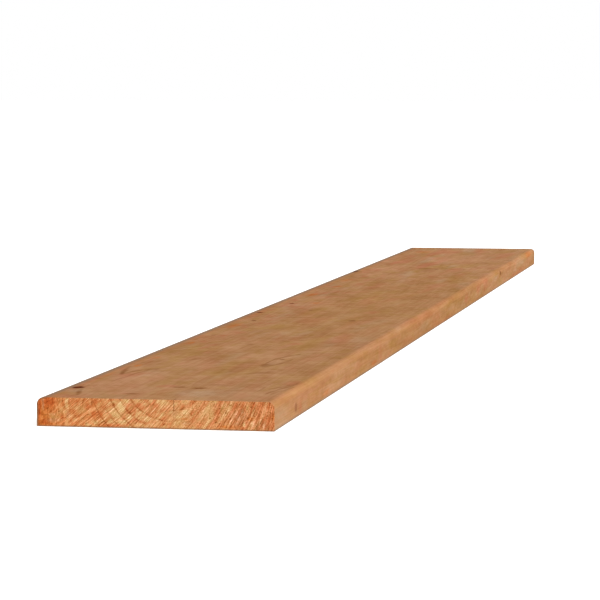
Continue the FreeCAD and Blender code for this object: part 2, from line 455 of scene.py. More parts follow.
def saw_foot(x, z):
    """Where the tooth mark through this place meets the lower face."""
    return x - z * (1.0 - x * 0.0062 - x * x * 0.00003)


def saw_marks(x, z):
    """How many tooth marks lie between here and the middle of the board. They waver a little."""
    foot = saw_foot(x, z)
    waver = sine(x * 0.13 + z * 0.05 + 0.6) * 0.16 + sine(x * 0.31 - z * 0.22) * 0.07
    return foot * (0.335 - foot * 0.0007) + waver


def bite(tooth):
    """How hard each tooth tore, 0 to 1."""
    return sine(tooth * 2.4 + 1.0) * 0.35 + sine(tooth * 5.3) * 0.15 + 0.5


def end_relief(points, from_end):
    """How far the sawn end lies inside a true flat face."""
    x, z = points[:, 0], points[:, 2]
    mark = saw_marks(x, z)
    groove = 0.5 - 0.5 * np.cos(2 * math.pi * mark)
    strength = bite(np.floor(mark)) * (0.7 + 0.3 * smooth_noise(points, 16.0, 11.0))
    years, _ = ring_count(x, from_end, z, 0.0)
    late = steps_between(0.45, 0.95, years - np.floor(years))
    torn = np.maximum(smooth_noise(points, 1.3, 23.0), 0.0)
    return 0.02 + 0.09 * (1 - groove * strength) + 0.035 * (1 - late) + 0.05 * torn


def check_path(depth):
    """The check isn't quite straight: how far to the side it is, this deep along its root."""
    return 0.12 * np.sin(depth * 1.1) + 0.05 * np.sin(depth * 3.7)


vertices = []
loop_rows = []
rows, full_rows = rows_along()
for distance, full in zip(rows, full_rows):
    used = np.arange(0, AROUND, 1 if full else COARSE)
    ring = np.stack([loop[used, 0], np.full(len(used), distance), loop[used, 1]], 1)
    loop_rows.append((len(vertices), used))
    vertices.extend(ring)

# The two sawn faces fill the first and last rows with a grid
over = np.arange(ACROSS + 1)[:, None, None] / ACROSS
down = np.arange(DOWN + 1)[None, :, None] / DOWN
between_edges = (1 - down) * upper_run[:, None] + down * lower_run[:, None]
between_edges = between_edges + (1 - over) * left_run[None] + over * right_run[None]
between_corners = (1 - over) * (1 - down) * upper_run[0] + over * (1 - down) * upper_run[-1]
between_corners = between_corners + (1 - over) * down * lower_run[0] + over * down * lower_run[-1]
face_grid = between_edges - between_corners


def sawn_face(row, distance):
    """Numbers of the grid's vertices on one end, those on its rim taken from the row that it closes."""
    first = loop_rows[row][0]
    numbers = np.full((ACROSS + 1, DOWN + 1), -1)
    numbers[:, 0] = first + np.arange(ACROSS + 1)
    numbers[-1, :] = first + ACROSS + np.arange(DOWN + 1)
    numbers[::-1, -1] = first + ACROSS + DOWN + np.arange(ACROSS + 1)
    numbers[0, 1:] = (first + 2 * ACROSS + DOWN + np.arange(DOWN))[::-1]
    inner = face_grid[1:-1, 1:-1].reshape(-1, 2)
    numbers[1:-1, 1:-1] = (len(vertices) + np.arange(len(inner))).reshape(ACROSS - 1, DOWN - 1)
    vertices.extend(np.stack([inner[:, 0], np.full(len(inner), distance), inner[:, 1]], 1))
    return numbers


near_face = sawn_face(0, 0.0)
far_face = sawn_face(len(rows) - 1, LENGTH)
flat = np.array(vertices)
shaped = flat.copy()

# Planing leaves the long faces a hair hollow, and dry knots sink
for row, (first, used) in enumerate(loop_rows):
    own = slice(first, first + len(used))
    outward = np.stack([facing[used, 0], np.zeros(len(used)), facing[used, 1]], 1)
    hollow = 0.02 + 0.02 * smooth_noise(flat[own], np.array([45.0, 240.0, 45.0]), 5.0)
    from_end = min(rows[row], LENGTH - rows[row])
    if from_end < 1.0:
        hollow += (0.10 + 0.09 * smooth_noise(flat[own], 2.1, 17.0)) * (1.0 - from_end)
    shaped[own] -= outward * (hollow + dished_at_knots(flat[own]))[:, None]

# The saw marks
for numbers, inward in ((near_face, 1.0), (far_face, -1.0)):
    own = numbers.ravel()
    shaped[own, 1] += inward * end_relief(flat[own], flat[own[0], 1])

# The check: its root runs from low on the sawn end up and along to the upper face


def open_check(number, side, opening, path, along):
    shaped[number, 0] = CHECK_X + path + side * max(CHECK_WIDTH / 2 * opening, CHECK_LEAST)
    if side == 0:
        shaped[number, 1] = CHECK_RUN * along
        shaped[number, 2] = CHECK_FOOT + CHECK_DEPTH * along


for number in near_face[check_column - 1:check_column + 2].ravel():
    height = flat[number, 2]
    if height > CHECK_FOOT:
        side = np.sign(round(flat[number, 0] - CHECK_X, 3))
        opening = (height - CHECK_FOOT) / CHECK_DEPTH
        open_check(number, side, opening, check_path(height), opening / 2)
for row, distance in enumerate(rows):
    if 0 < distance < CHECK_RUN:
        share = distance / CHECK_RUN
        for side in (-1, 0, 1):
            number = loop_rows[row][0] + check_column + side
            open_check(number, side, 1 - share, check_path(THICKNESS + distance), (1 + share) / 2)

faces = []
faces_end = []
for row in range(len(rows) - 1):
    first, used = loop_rows[row]
    then, then_used = loop_rows[row + 1]
    count, then_count = len(used), len(then_used)
    if count == then_count:
        k = np.arange(count)
        after = (k + 1) % count
        faces.extend(np.stack([first + k, first + after, then + after, then + k], 1).tolist())
        continue
    near_is_full = count > then_count
    full_first, plain_first = (first, then) if near_is_full else (then, first)
    for k in range(min(count, then_count)):
        a = plain_first + k
        b = plain_first + (k + 1) % min(count, then_count)
        c = [full_first + (COARSE * k + step) % AROUND for step in range(COARSE + 1)]
        fan = [[c[0], c[1], a], [c[1], c[2], b, a], [c[2], c[3], b]]
        faces.extend(fan if near_is_full else [piece[::-1] for piece in fan])
for numbers, turn in ((near_face, 1), (far_face, -1)):
    a, b = numbers[:-1, :-1].ravel(), numbers[:-1, 1:].ravel()
    c, d = numbers[1:, 1:].ravel(), numbers[1:, :-1].ravel()
    faces_end.extend(np.stack([a, b, c, d], 1)[:, ::turn].tolist())

mesh = bpy.data.meshes.new("plank_wood")
placed = (shaped + (0.0, NEAR_END, 0.0)) * MM
mesh.from_pydata(placed.tolist(), [], faces + faces_end)
mesh.update()
plank = bpy.data.objects.new("plank_wood", mesh)
bpy.context.collection.objects.link(plank)
mesh.polygons.foreach_set("use_smooth", [True] * len(mesh.polygons))
mesh.polygons.foreach_set("material_index", [0] * len(faces) + [1] * len(faces_end))
mesh.set_sharp_from_angle(angle=math.radians(50))

# The surfaces laid out flat for finishing: four strips along the board, one over another, and the two
# sawn ends, which get more room for their size because their figure is finer. tall is a strip's height.
STRIPS = [
    dict(start=-ROUND_STEPS, steps=ACROSS + 2 * ROUND_STEPS, tall=0.375),
    dict(start=ACROSS + ROUND_STEPS, steps=EDGE_STEPS + 2 * ARRIS_STEPS, tall=0.055),
    dict(start=ACROSS + DOWN + ARRIS_STEPS, steps=ACROSS - 2 * ARRIS_STEPS, tall=0.290),
    dict(start=2 * ACROSS + DOWN - ARRIS_STEPS, steps=EDGE_STEPS + 2 * ARRIS_STEPS, tall=0.055),
]
STRIP_GAP = 0.004
END_SCALE = 0.0047
layout = mesh.uv_layers.new(name="OFBake")
corner_vertex = np.empty(len(mesh.loops), int)
mesh.loops.foreach_get("vertex_index", corner_vertex)
uv = np.zeros((len(mesh.loops), 2))
vertex_step = np.full(len(flat), -1)
for first, used in loop_rows:
    vertex_step[first:first + len(used)] = used
face_start = np.empty(len(mesh.polygons), int)
face_size = np.empty(len(mesh.polygons), int)
mesh.polygons.foreach_get("loop_start", face_start)
mesh.polygons.foreach_get("loop_total", face_size)
whole_loop = loop_length[-1]
strip_foot = STRIP_GAP
for strip in STRIPS:
    begin = loop_length[strip["start"] % AROUND] - (whole_loop if strip["start"] < 0 else 0.0)
    span = 0.0
    for step in range(strip["steps"]):
        span += np.linalg.norm(ahead[(strip["start"] + step) % AROUND])
    strip.update(begin=begin, span=span, foot=strip_foot)
    strip_foot += strip["tall"] + STRIP_GAP
for face in range(len(faces)):
    corners = slice(face_start[face], face_start[face] + face_size[face])
    steps = vertex_step[corner_vertex[corners]]
    if steps.max() - steps.min() > AROUND / 2:
        steps = np.where(steps < AROUND / 2, steps + AROUND, steps)
    middle = (steps.min() + steps.max()) / 2
    for strip in STRIPS:
        into = (middle - strip["start"]) % AROUND
        if into < strip["steps"]:
            break
    offset = (steps - strip["start"]) % AROUND
    offset = np.where(offset > strip["steps"], 0, offset)
    absolute = strip["start"] + offset
    lengths = loop_length[absolute % AROUND] + whole_loop * np.floor(absolute / AROUND)
    share = (lengths - strip["begin"]) / strip["span"]
    uv[corners, 0] = STRIP_GAP + (1 - 2 * STRIP_GAP) * flat[corner_vertex[corners], 1] / LENGTH
    uv[corners, 1] = strip["foot"] + strip["tall"] * share
end_corners = slice(face_start[len(faces)], len(mesh.loops))
end_places = flat[corner_vertex[end_corners]]
is_far = end_places[:, 1] > LENGTH / 2
uv[end_corners, 0] = STRIP_GAP + (end_places[:, 0] + HALF_WIDTH) * END_SCALE
uv[end_corners, 1] = strip_foot + end_places[:, 2] * END_SCALE
uv[end_corners, 1] += is_far * (THICKNESS * END_SCALE + STRIP_GAP)
layout.uv.foreach_set("vector", uv.ravel())

# What the wood looks like inside
# The same figure shows on every face that cuts it: knots, rings, fibres and stains fill the board's
# whole volume, as shader groups that both finishes use.


def vector_calc(operation, *values, result="Vector"):
    """One Vector Math node."""
    tree = next(value.tree for value in values if isinstance(value, Reading))
    node = tree.nodes.new("ShaderNodeVectorMath")
    node.operation = operation
    for socket, value in zip(node.inputs, values):
        feed(tree, socket, value)
    return Reading(tree, node.outputs[result])


def shader_group(name, takes, gives):
    """A new node group with plain number inputs and outputs: its tree, its inputs and its output node."""
    tree = bpy.data.node_groups.new(name, "ShaderNodeTree")
    for label, value in takes.items():
        socket = tree.interface.new_socket(name=label, in_out="INPUT", socket_type="NodeSocketFloat")
        socket.default_value = value
    for label in gives:
        tree.interface.new_socket(name=label, in_out="OUTPUT", socket_type="NodeSocketFloat")
    start = tree.nodes.new("NodeGroupInput")
    end = tree.nodes.new("NodeGroupOutput")
    return tree, {label: Reading(tree, start.outputs[label]) for label in takes}, end


def use_group(tree, group, **values):
    """Places a group in a material or another group, and gives its outputs as Readings."""
    node = tree.nodes.new("ShaderNodeGroup")
    node.node_tree = group
    for label, value in values.items():
        feed(tree, node.inputs[label.replace("_", " ")], value)
    return {output.name: Reading(tree, output) for output in node.outputs}


def board_place(tree):
    """The place in the board in mm, from the near end, as a vector and as x, y and z."""
    coordinates = tree.nodes.new("ShaderNodeTexCoord")
    at = Reading(tree, coordinates.outputs["Object"])
    at = vector_calc("MULTIPLY_ADD", at, (1 / MM, 1 / MM, 1 / MM), (0.0, -NEAR_END, 0.0))
    parts = tree.nodes.new("ShaderNodeSeparateXYZ")
    feed(tree, parts.inputs[0], at)
    return at, *[Reading(tree, output) for output in parts.outputs]


def combined(x, y, z):
    """Three numbers as a vector."""
    tree = next(value.tree for value in (x, y, z) if isinstance(value, Reading))
    node = tree.nodes.new("ShaderNodeCombineXYZ")
    for socket, value in zip(node.inputs, (x, y, z)):
        feed(tree, socket, value)
    return Reading(tree, node.outputs[0])


def lumps(place, size, detail=2.0, harshness=0.5):
    """Noise with lumps of this size in mm each way, about -1 to 1."""
    tree = place.tree
    texture = tree.nodes.new("ShaderNodeTexNoise")
    texture.inputs["Scale"].default_value = 1.0
    texture.inputs["Detail"].default_value = detail
    texture.inputs["Roughness"].default_value = harshness
    feed(tree, texture.inputs["Vector"], vector_calc("DIVIDE", place, size))
    return Reading(tree, texture.outputs["Fac"]) * 2.0 - 1.0


def nudged(place, size, reach):
    """The place moved about by up to half of reach, in mm, so that what follows it has ragged edges."""
    tree = place.tree
    texture = tree.nodes.new("ShaderNodeTexNoise")
    texture.inputs["Scale"].default_value = 1.0
    texture.inputs["Detail"].default_value = 2.0
    feed(tree, texture.inputs["Vector"], vector_calc("DIVIDE", place, size))
    off = vector_calc("SUBTRACT", Reading(tree, texture.outputs["Color"]), (0.5, 0.5, 0.5))
    return vector_calc("MULTIPLY_ADD", off, reach, place)


def ramp(value, low, high, start=0.0, end=1.0):
    """Turns low to high smoothly into start to end, held beyond both."""
    tree = value.tree
    node = tree.nodes.new("ShaderNodeMapRange")
    node.interpolation_type = "SMOOTHSTEP"
    feed(tree, node.inputs["Value"], value)
    node.inputs["From Min"].default_value = low
    node.inputs["From Max"].default_value = high
    node.inputs["To Min"].default_value = start
    node.inputs["To Max"].default_value = end
    return Reading(tree, node.outputs[0])


def hump(value, middle, width):
    """1 at the middle, falling off to both sides."""
    off = (value - middle) / width
    return calc("EXPONENT", off * off * -1.0)


def knots_group():
    """One branch stub after another: Core is the knot's own wood, Bark its dark rim, Halo the darker
    grain round it and Push how far it moves the rings."""
    tree, _, end = shader_group("knots", {}, ["Core", "Bark", "Halo", "Push"])
    at, _, _, _ = board_place(tree)
    ragged = lumps(at, (2.2, 4.0, 2.2)) * 0.35
    core, bark, halo, push = 0.0, 0.0, 0.0, 0.0
    for knot in KNOTS:
        runs = Vector(knot["runs"]).normalized()
        off = vector_calc("SUBTRACT", at, knot["at"])
        depth = vector_calc("DOT_PRODUCT", off, runs, result="Value")
        back = tree.nodes.new("ShaderNodeVectorMath")
        back.operation = "SCALE"
        back.inputs[0].default_value = runs
        feed(tree, back.inputs["Scale"], depth)
        off = vector_calc("SUBTRACT", off, Reading(tree, back.outputs[0]))
        near = vector_calc("MULTIPLY", off, (1.0, 0.66, 1.0))
        deep = knot.get("deep", KNOT_DEEP)
        out = vector_calc("LENGTH", near, result="Value") / knot["half"] + ragged
        out = out + ramp(depth, 0.5 * deep, deep, 0.0, 9.0)
        core = greater(ramp(out, 1.15, 0.75, 0.0, knot["dark"]), core)
        bark = greater(hump(out, 1.05, 0.28) * knot["dark"], bark)
        halo = greater(hump(out, 0.6, 1.3) * knot["dark"], halo)
        wide = vector_calc("DIVIDE", off, (3.4 * knot["half"], 9.0 * knot["half"], 3.4 * knot["half"]))
        spread = vector_calc("DOT_PRODUCT", wide, wide, result="Value")
        push = calc("EXPONENT", spread * -1.0) * knot["push"] + push
    for label, value in dict(Core=core, Bark=bark, Halo=halo, Push=push).items():
        feed(tree, end.inputs[label], value)
    return tree


PATCH_DEEP = 4.0
END_PATCH_DEEP = 12.0


def on_upper(x, y, half_x, half_y, much):
    return (x, y, THICKNESS), (half_x, half_y, PATCH_DEEP), much


def on_edge(y, z, half_y, half_z, much):
    return (HALF_WIDTH, y, z), (PATCH_DEEP, half_y, half_z), much


def on_sawn(x, z, half_x, half_z, much):
    return (x, 0.0, z), (half_x, END_PATCH_DEEP, half_z), much


def patches_group(name, patches, with_saw=False):
    """How much of each tone the patches give, 0 to 1. They stand square to the board or lean with the
    saw marks. The darkest marks are whole, and the others uneven."""
    amounts = {tone: 0.0 for tone in patches}
    tree, _, end = shader_group(name, {}, amounts)
    at, x, y, z = board_place(tree)
    uneven = ramp(lumps(at, (3.0, 11.0, 2.2), 1.0), -0.45, 0.20, 0.50, 1.0)
    if with_saw:
        at = nudged(combined(saw_foot(x, z), y, z), (1.6, 14.0, 2.4), (0.8, 0.0, 1.2))
    else:
        at = nudged(at, (3.5, 14.0, 3.5), (1.6, 8.0, 1.6))
    for tone, places in patches.items():
        for middle, size, much in places:
            if with_saw:
                middle = (saw_foot(middle[0], middle[2]), middle[1], middle[2])
            scale = [1 / half for half in size]
            shift = [-place / half for place, half in zip(middle, size)]
            out = vector_calc("LENGTH", vector_calc("MULTIPLY_ADD", at, scale, shift), result="Value")
            amounts[tone] = greater(ramp(out, 1.55, 0.35, 0.0, much), amounts[tone])
    for tone, amount in amounts.items():
        whole = tone in ("dark", "torn", "plain")
        feed(tree, end.inputs[tone], amount if whole else amount * uneven)
    return tree


def rings_group():
    """The growth rings. Summer is the late wood of each year, Line its hard dark end, Year a number that
    differs from year to year, and Age the count of years."""
    tree, takes, end = shader_group("growth rings", {"Push": 0.0}, ["Summer", "Line", "Year", "Age"])
    at, x, y, z = board_place(tree)
    waver = lumps(at, (17.0, 330.0, 17.0)) * 1.0 + lumps(at, (3.5, 90.0, 3.5)) * 0.4
    years, radius = ring_count(x, y, z, takes["Push"] + waver)
    part = calc("FRACT", years)
    chance = tree.nodes.new("ShaderNodeTexWhiteNoise")
    chance.noise_dimensions = "1D"
    feed(tree, chance.inputs["W"], calc("FLOOR", years))
    year = Reading(tree, chance.outputs["Value"])
    feed(tree, end.inputs["Summer"], ramp(part, 0.35, 0.95) * ramp(part, 1.0, 0.97))
    feed(tree, end.inputs["Line"], hump(part, 0.93, 0.085) * (0.6 + year * 0.4))
    feed(tree, end.inputs["Year"], year)
    feed(tree, end.inputs["Age"], years)
    return tree


def ring_lines_group():
    """The lines that single rings leave on the upper face, Line 0 to 1, drawn from point to point."""
    tree, _, end = shader_group("single rings", {}, ["Line"])
    at, _, _, z = board_place(tree)
    patchy = ramp(lumps(at, (5.0, 20.0, 5.0)), -0.40, 0.20, 0.45, 1.0)
    at = nudged(at, (6.0, 30.0, 6.0), (1.6, 6.0, 0.0))
    squeezed = vector_calc("MULTIPLY", at, (1.0, 1 / LINE_STRETCH, 0.0))
    line = 0.0
    for ring_line in RING_LINES:
        points = [Vector((x, y / LINE_STRETCH, 0.0)) for x, y in ring_line["points"]]
        for start, stop in zip(points, points[1:]):
            reach = stop - start
            off = vector_calc("SUBTRACT", squeezed, start)
            share = vector_calc("DOT_PRODUCT", off, reach / reach.length_squared, result="Value")
            share = calc("MINIMUM", greater(share, 0.0), 1.0)
            along = vector_calc("MULTIPLY", combined(share, share, share), reach)
            off = vector_calc("SUBTRACT", off, along)
            out = vector_calc("LENGTH", off, result="Value")
            line = greater(ramp(out, 1.5, 0.3, 0.0, ring_line["much"]), line)
    feed(tree, end.inputs["Line"], line * patchy * ramp(z, 12.0, 18.0))
    return tree


def fibres_group():
    """The fibres run along the board. Streak is their fine lighter and darker lines, and Pore the same
    fibres seen as dots where they are cut across."""
    tree, _, end = shader_group("fibres", {}, ["Streak", "Pore"])
    at, _, _, _ = board_place(tree)
    feed(tree, end.inputs["Streak"], lumps(at, (0.9, 60.0, 0.9), 3.0, 0.65))
    feed(tree, end.inputs["Pore"], lumps(at, (0.85, 6.0, 0.85), 2.0, 0.75))
    return tree


def stains_group():
    """Broad changes of tone: Red and Yellow where the wood is richer, Grey where it has weathered, Cloud
    and Dash for the mottled figure that planing across wild grain leaves, and Fleck for short redder and
    greener streaks."""
    tree, _, end = shader_group("stains", {}, ["Red", "Yellow", "Grey", "Cloud", "Dash", "Fleck"])
    at, _, _, _ = board_place(tree)
    feed(tree, end.inputs["Red"], ramp(lumps(at, (25.0, 200.0, 11.0), 1.0), 0.0, 0.55))
    shifted = vector_calc("ADD", at, (310.0, 77.0, 41.0))
    feed(tree, end.inputs["Yellow"], ramp(lumps(shifted, (24.0, 170.0, 11.0), 1.0), 0.0, 0.55))
    shifted = vector_calc("ADD", at, (-150.0, 417.0, 63.0))
    feed(tree, end.inputs["Grey"], ramp(lumps(shifted, (21.0, 140.0, 13.0), 1.0), 0.05, 0.60))
    feed(tree, end.inputs["Cloud"], lumps(at, (30.0, 70.0, 9.0), 3.0))
    feed(tree, end.inputs["Dash"], lumps(at, (9.5, 12.0, 4.0), 4.0, 0.62))
    feed(tree, end.inputs["Fleck"], lumps(at, (15.0, 46.0, 6.0), 2.0, 0.6))
    return tree


knots = knots_group()
planed_places = {tone: [on_upper(*patch) for patch in listed] for tone, listed in UPPER_PATCHES.items()}
for tone, listed in EDGE_PATCHES.items():
    planed_places[tone] += [on_edge(*patch) for patch in listed]
sawn_places = {tone: [on_sawn(*patch) for patch in listed] for tone, listed in SAWN_PATCHES.items()}
tooth_places = {tone: [on_sawn(*mark) for mark in listed] for tone, listed in TOOTH_MARKS.items()}
face_patches = patches_group("patches of the planed faces", planed_places)
end_patches = patches_group("patches of the sawn end", sawn_places)
tooth_marks = patches_group("tooth marks", tooth_places, with_saw=True)
growth_rings = rings_group()
ring_lines = ring_lines_group()
fibres = fibres_group()
stains = stains_group()


def blend(amount, under, over):
    """One colour over another, by an amount that varies over the surface."""
    tree = amount.tree
    node = tree.nodes.new("ShaderNodeMix")
    node.data_type = "RGBA"
    sockets = {socket.identifier: socket for socket in [*node.inputs, *node.outputs]}
    feed(tree, sockets["Factor_Float"], amount)
    feed(tree, sockets["A_Color"], under)
    feed(tree, sockets["B_Color"], over)
    return Reading(tree, sockets["Result_Color"])


def brightened(colour, factor, green=1.4, blue=2.1):
    """A colour made lighter or darker by a factor that varies over the surface. What is darker is also
    redder, as wood is where more of it lies in shade between its own fibres: green and blue say how much
    faster than red those two change."""
    green_factor = calc("POWER", factor, green)
    blue_factor = calc("POWER", factor, blue)
    return vector_calc("MULTIPLY", colour, combined(factor, green_factor, blue_factor))


def check_shade(x, y, z):
    """1 on the walls of the check and its lips, where the crack gets painted shade."""
    side = calc("ABSOLUTE", x - CHECK_X)
    inside = ramp(side, 0.45, 0.22) * ramp(z, CHECK_FOOT - 0.4, CHECK_FOOT + 0.6)
    return inside * ramp(y, CHECK_RUN, CHECK_RUN - 1.0)


def new_finish(name, roughness, shine):
    """A material with a Principled BSDF: the material, its tree and the shader."""
    material = bpy.data.materials.new(name)
    material.use_nodes = True
    shader = material.node_tree.nodes["Principled BSDF"]
    shader.inputs["Roughness"].default_value = roughness
    shader.inputs["Specular IOR Level"].default_value = shine
    return material, material.node_tree, shader


def raise_grain(tree, shader, height, distance):
    """Bump from a height between 0 and 1, this many mm deep."""
    bump = tree.nodes.new("ShaderNodeBump")
    bump.inputs["Strength"].default_value = 1.0
    bump.inputs["Distance"].default_value = distance * MM
    feed(tree, bump.inputs["Height"], height)
    tree.links.new(bump.outputs["Normal"], shader.inputs["Normal"])


# The planed faces
# Bare wood, a little duller where the fibres are torn and smoother on the hard summer wood. The rings
# show only as soft lines, and broad patches of warmer and paler wood run along the board.

FACE_WOOD = (0.492, 0.246, 0.112, 1.0)
FACE_SUMMER = (0.385, 0.165, 0.068, 1.0)
FACE_RED = (0.500, 0.180, 0.088, 1.0)
FACE_ORANGE = (0.590, 0.175, 0.040, 1.0)
FACE_OLIVE = (0.435, 0.226, 0.068, 1.0)
FACE_GREY = (0.515, 0.310, 0.175, 1.0)
LINE_BROWN = (0.205, 0.058, 0.007, 1.0)
KNOT_WOOD = (0.150, 0.030, 0.008, 1.0)
BARK_BROWN = (0.090, 0.018, 0.006, 1.0)
HALO_WOOD = (0.360, 0.118, 0.048, 1.0)
FACE_PINK = (0.552, 0.262, 0.134, 1.0)
# The grey of the painted shade along the left round, the lower edges and the far end
EDGE_SHADE_GREY = (0.320, 0.220, 0.150, 1.0)

planed, tree, shader = new_finish("planed softwood", 0.62, 0.0)
_, x, y, z = board_place(tree)
knot = use_group(tree, knots)
ring = use_group(tree, growth_rings, Push=knot["Push"])
single = use_group(tree, ring_lines)
fibre = use_group(tree, fibres)
stain = use_group(tree, stains)
patch = use_group(tree, face_patches)

# The wood and its stains, which are wilder further along the board
colour = blend(ring["Summer"] * 0.20 + ring["Line"] * 0.10, FACE_WOOD, FACE_SUMMER)
wild = ramp(y, 600.0, 1200.0, 1.15, 1.6)
colour = blend(stain["Yellow"] * 0.60, colour, FACE_OLIVE)
colour = blend(stain["Grey"] * wild * 0.45, colour, FACE_GREY)
colour = blend(stain["Red"] * wild * 0.45, colour, FACE_RED)
colour = blend(ramp(stain["Fleck"], 0.02, 0.36) * ramp(x, -20.0, -60.0, 0.24, 0.56), colour, FACE_RED)
colour = blend(ramp(stain["Fleck"], -0.02, -0.36) * 0.40, colour, FACE_OLIVE)
woods = dict(olive=(0.75, FACE_OLIVE), pink=(0.80, FACE_PINK), grey=(0.70, FACE_GREY), red=(0.70, FACE_RED))
for name, (strength, wood) in woods.items():
    colour = blend(patch[name] * strength, colour, wood)
colour = blend(greater(patch["orange"], ramp(x, -66.0, -82.0, 0.0, 0.35)) * 0.65, colour, FACE_ORANGE)

# Lighter and darker: clouds, dashes and streaks, a painted highlight on the right round and edge, and
# lighter ends
# The right round is tinted orange here, and gets a painted highlight below
rounded = ramp(x, 78.5, 81.0) * ramp(z, 14.5, 16.5)
colour = blend(rounded * 0.09, colour, FACE_ORANGE)
dash = stain["Dash"] * ramp(x, 80.0, 84.0, 0.23, 0.18)
dash = dash * ramp(y, 500.0, 1200.0, 1.0, 1.4) * (1.0 - rounded * 0.5)
# Painted light: the right round and edge are lighter near the near end, with a painted highlight on the
# round
painted_light_and_drift = ramp(x, 79.5, 82.0) * ramp(y, 90.0, 620.0, 0.08, -0.04) + rounded * 0.03
# The upper face is lighter towards both ends
painted_light_and_drift = painted_light_and_drift + ramp(y, 260.0, 90.0, 0.0, 0.04) + ramp(y, 1050.0, 1450.0, 0.0, 0.05)
tone = 1.0 + stain["Cloud"] * 0.24 + dash + fibre["Streak"] * 0.19 + ring["Year"] * 0.03 + painted_light_and_drift
colour = brightened(colour, tone)

# The dark marks, and painted shade: grey along the left round, the lower edges and the far end
colour = blend(greater(patch["dark"], single["Line"]), colour, LINE_BROWN)
colour = blend(knot["Halo"] * 0.45, colour, HALO_WOOD)
colour = blend(knot["Core"], colour, KNOT_WOOD)
colour = blend(knot["Bark"] * 0.8, colour, BARK_BROWN)
# Painted shade in the check: its walls and lips darkened
colour = blend(check_shade(x, y, z) * 0.60, colour, LINE_BROWN)
# Painted shade: the left round, turned from the lamp, the lower edges by the floor and the far end are
# greyed
planed_edge_shade = greater(ramp(x - y * 0.0006, -73.8, -78.6) * ramp(z, 14.0, 16.5), ramp(z, 2.8, 0.6, 0.0, 0.8))
planed_edge_shade = greater(planed_edge_shade, ramp(y, LENGTH - 16.0, LENGTH - 5.0, 0.0, 0.6))
planed_edge_shade = greater(planed_edge_shade, ramp(z, 1.0, 0.3, 0.0, 1.25)) * (1.0 - knot["Core"])
colour = blend(planed_edge_shade * 0.75, colour, EDGE_SHADE_GREY)
feed(tree, shader.inputs["Base Color"], colour)
feed(tree, shader.inputs["Roughness"], 0.64 - ring["Summer"] * 0.10 + fibre["Streak"] * 0.05)
grain = ring["Summer"] * 0.5 + fibre["Streak"] * 0.35 - knot["Bark"] * 0.8
raise_grain(tree, shader, grain, 0.05)

# The sawn ends
# Cut across the fibres, so the wood is a stronger orange and the rings are sharp. The saw's teeth left
# pale torn lines between smoother, darker ones.

END_WOOD = (0.680, 0.300, 0.112, 1.0)
END_RED = (0.505, 0.098, 0.017, 1.0)
END_ORANGE = (0.620, 0.180, 0.030, 1.0)
END_TAN = (0.730, 0.450, 0.180, 1.0)
END_OLIVE = (0.540, 0.290, 0.090, 1.0)
END_GREY = (0.580, 0.310, 0.140, 1.0)
# The dark of the painted shade along the end's left edge, its round and its lower edge
END_EDGE_SHADE = (0.195, 0.118, 0.055, 1.0)

sawn, tree, shader = new_finish("sawn end grain", 0.75, 0.08)
place, x, y, z = board_place(tree)
knot = use_group(tree, knots)
ring = use_group(tree, growth_rings, Push=knot["Push"])
fibre = use_group(tree, fibres)
patch = use_group(tree, end_patches)
bitten = use_group(tree, tooth_marks)

# The saw: fine strokes along each tooth mark, and a torn and a smooth side to it. The wood is rougher by
# the left edge and to the right of the check.
mark = saw_marks(x, z)
rough = greater(hump(x, 30.0, 16.0), ramp(x, -60.0, -68.0))
stroke = lumps(combined(mark, z, 0.0), (0.32, 9.0, 1.0), 3.0, 0.75)
stroke = stroke * ramp(x, -66.0, -58.0, 0.50, 1.0) * (1.0 - hump(x, 28.0, 22.0) * 0.40)
speck = lumps(combined(mark, z, 7.0), (0.50, 1.6, 1.0), 2.0, 0.7)
upright = lumps(place, (1.1, 8.0, 4.0), 2.0) * ramp(x, -58.0, -66.0)
tooth = calc("FRACT", mark)
here_and_there = ramp(lumps(combined(mark, z, 4.0), (1.2, 9.0, 1.0)), -0.25, 0.20, 0.15, 1.0)
tore = bite(calc("FLOOR", mark)) * here_and_there
tore = tore * (1.0 - rough * 0.45) * ramp(x, -70.0, -60.0, 0.35, 0.95)
torn = hump(tooth, 0.45, 0.19) * tore
smooth = hump(tooth, 0.80, 0.14) * tore

# The wood: its colour changes between the rings and the tooth marks, and the patches lie over that
cell = lumps(combined(mark * 0.8, ring["Age"] * 1.3, z * 0.05), (1.0, 1.0, 1.0), 1.0)
heart_side = ramp(x, 40.0, 62.0)
colour = blend(ramp(cell, 0.0, 0.36, 0.0, 0.50), END_WOOD, END_RED)
colour = blend(ramp(cell, 0.0, -0.40, 0.0, 0.7), colour, END_TAN)
colour = blend(heart_side * 0.17, colour, END_RED)
colour = blend(ramp(x, -62.0, -80.0, 0.30, 0.85) * ramp(x, -25.0, -42.0), colour, END_ORANGE)
colour = blend(ramp(x, -68.0, -76.0) * ramp(z, 9.0, 16.0, 0.05, 0.62), colour, END_RED)
colour = blend(ramp(x, 62.0, 80.0, 0.0, 0.18), colour, END_RED)
colour = blend(patch["tan"], colour, END_TAN)
for name, wood in dict(olive=END_OLIVE, grey=END_GREY, orange=END_ORANGE, red=END_RED).items():
    colour = blend(patch[name] * 0.85, colour, wood)
colour = blend(ring["Summer"] * (0.16 + heart_side * 0.22), colour, END_RED)

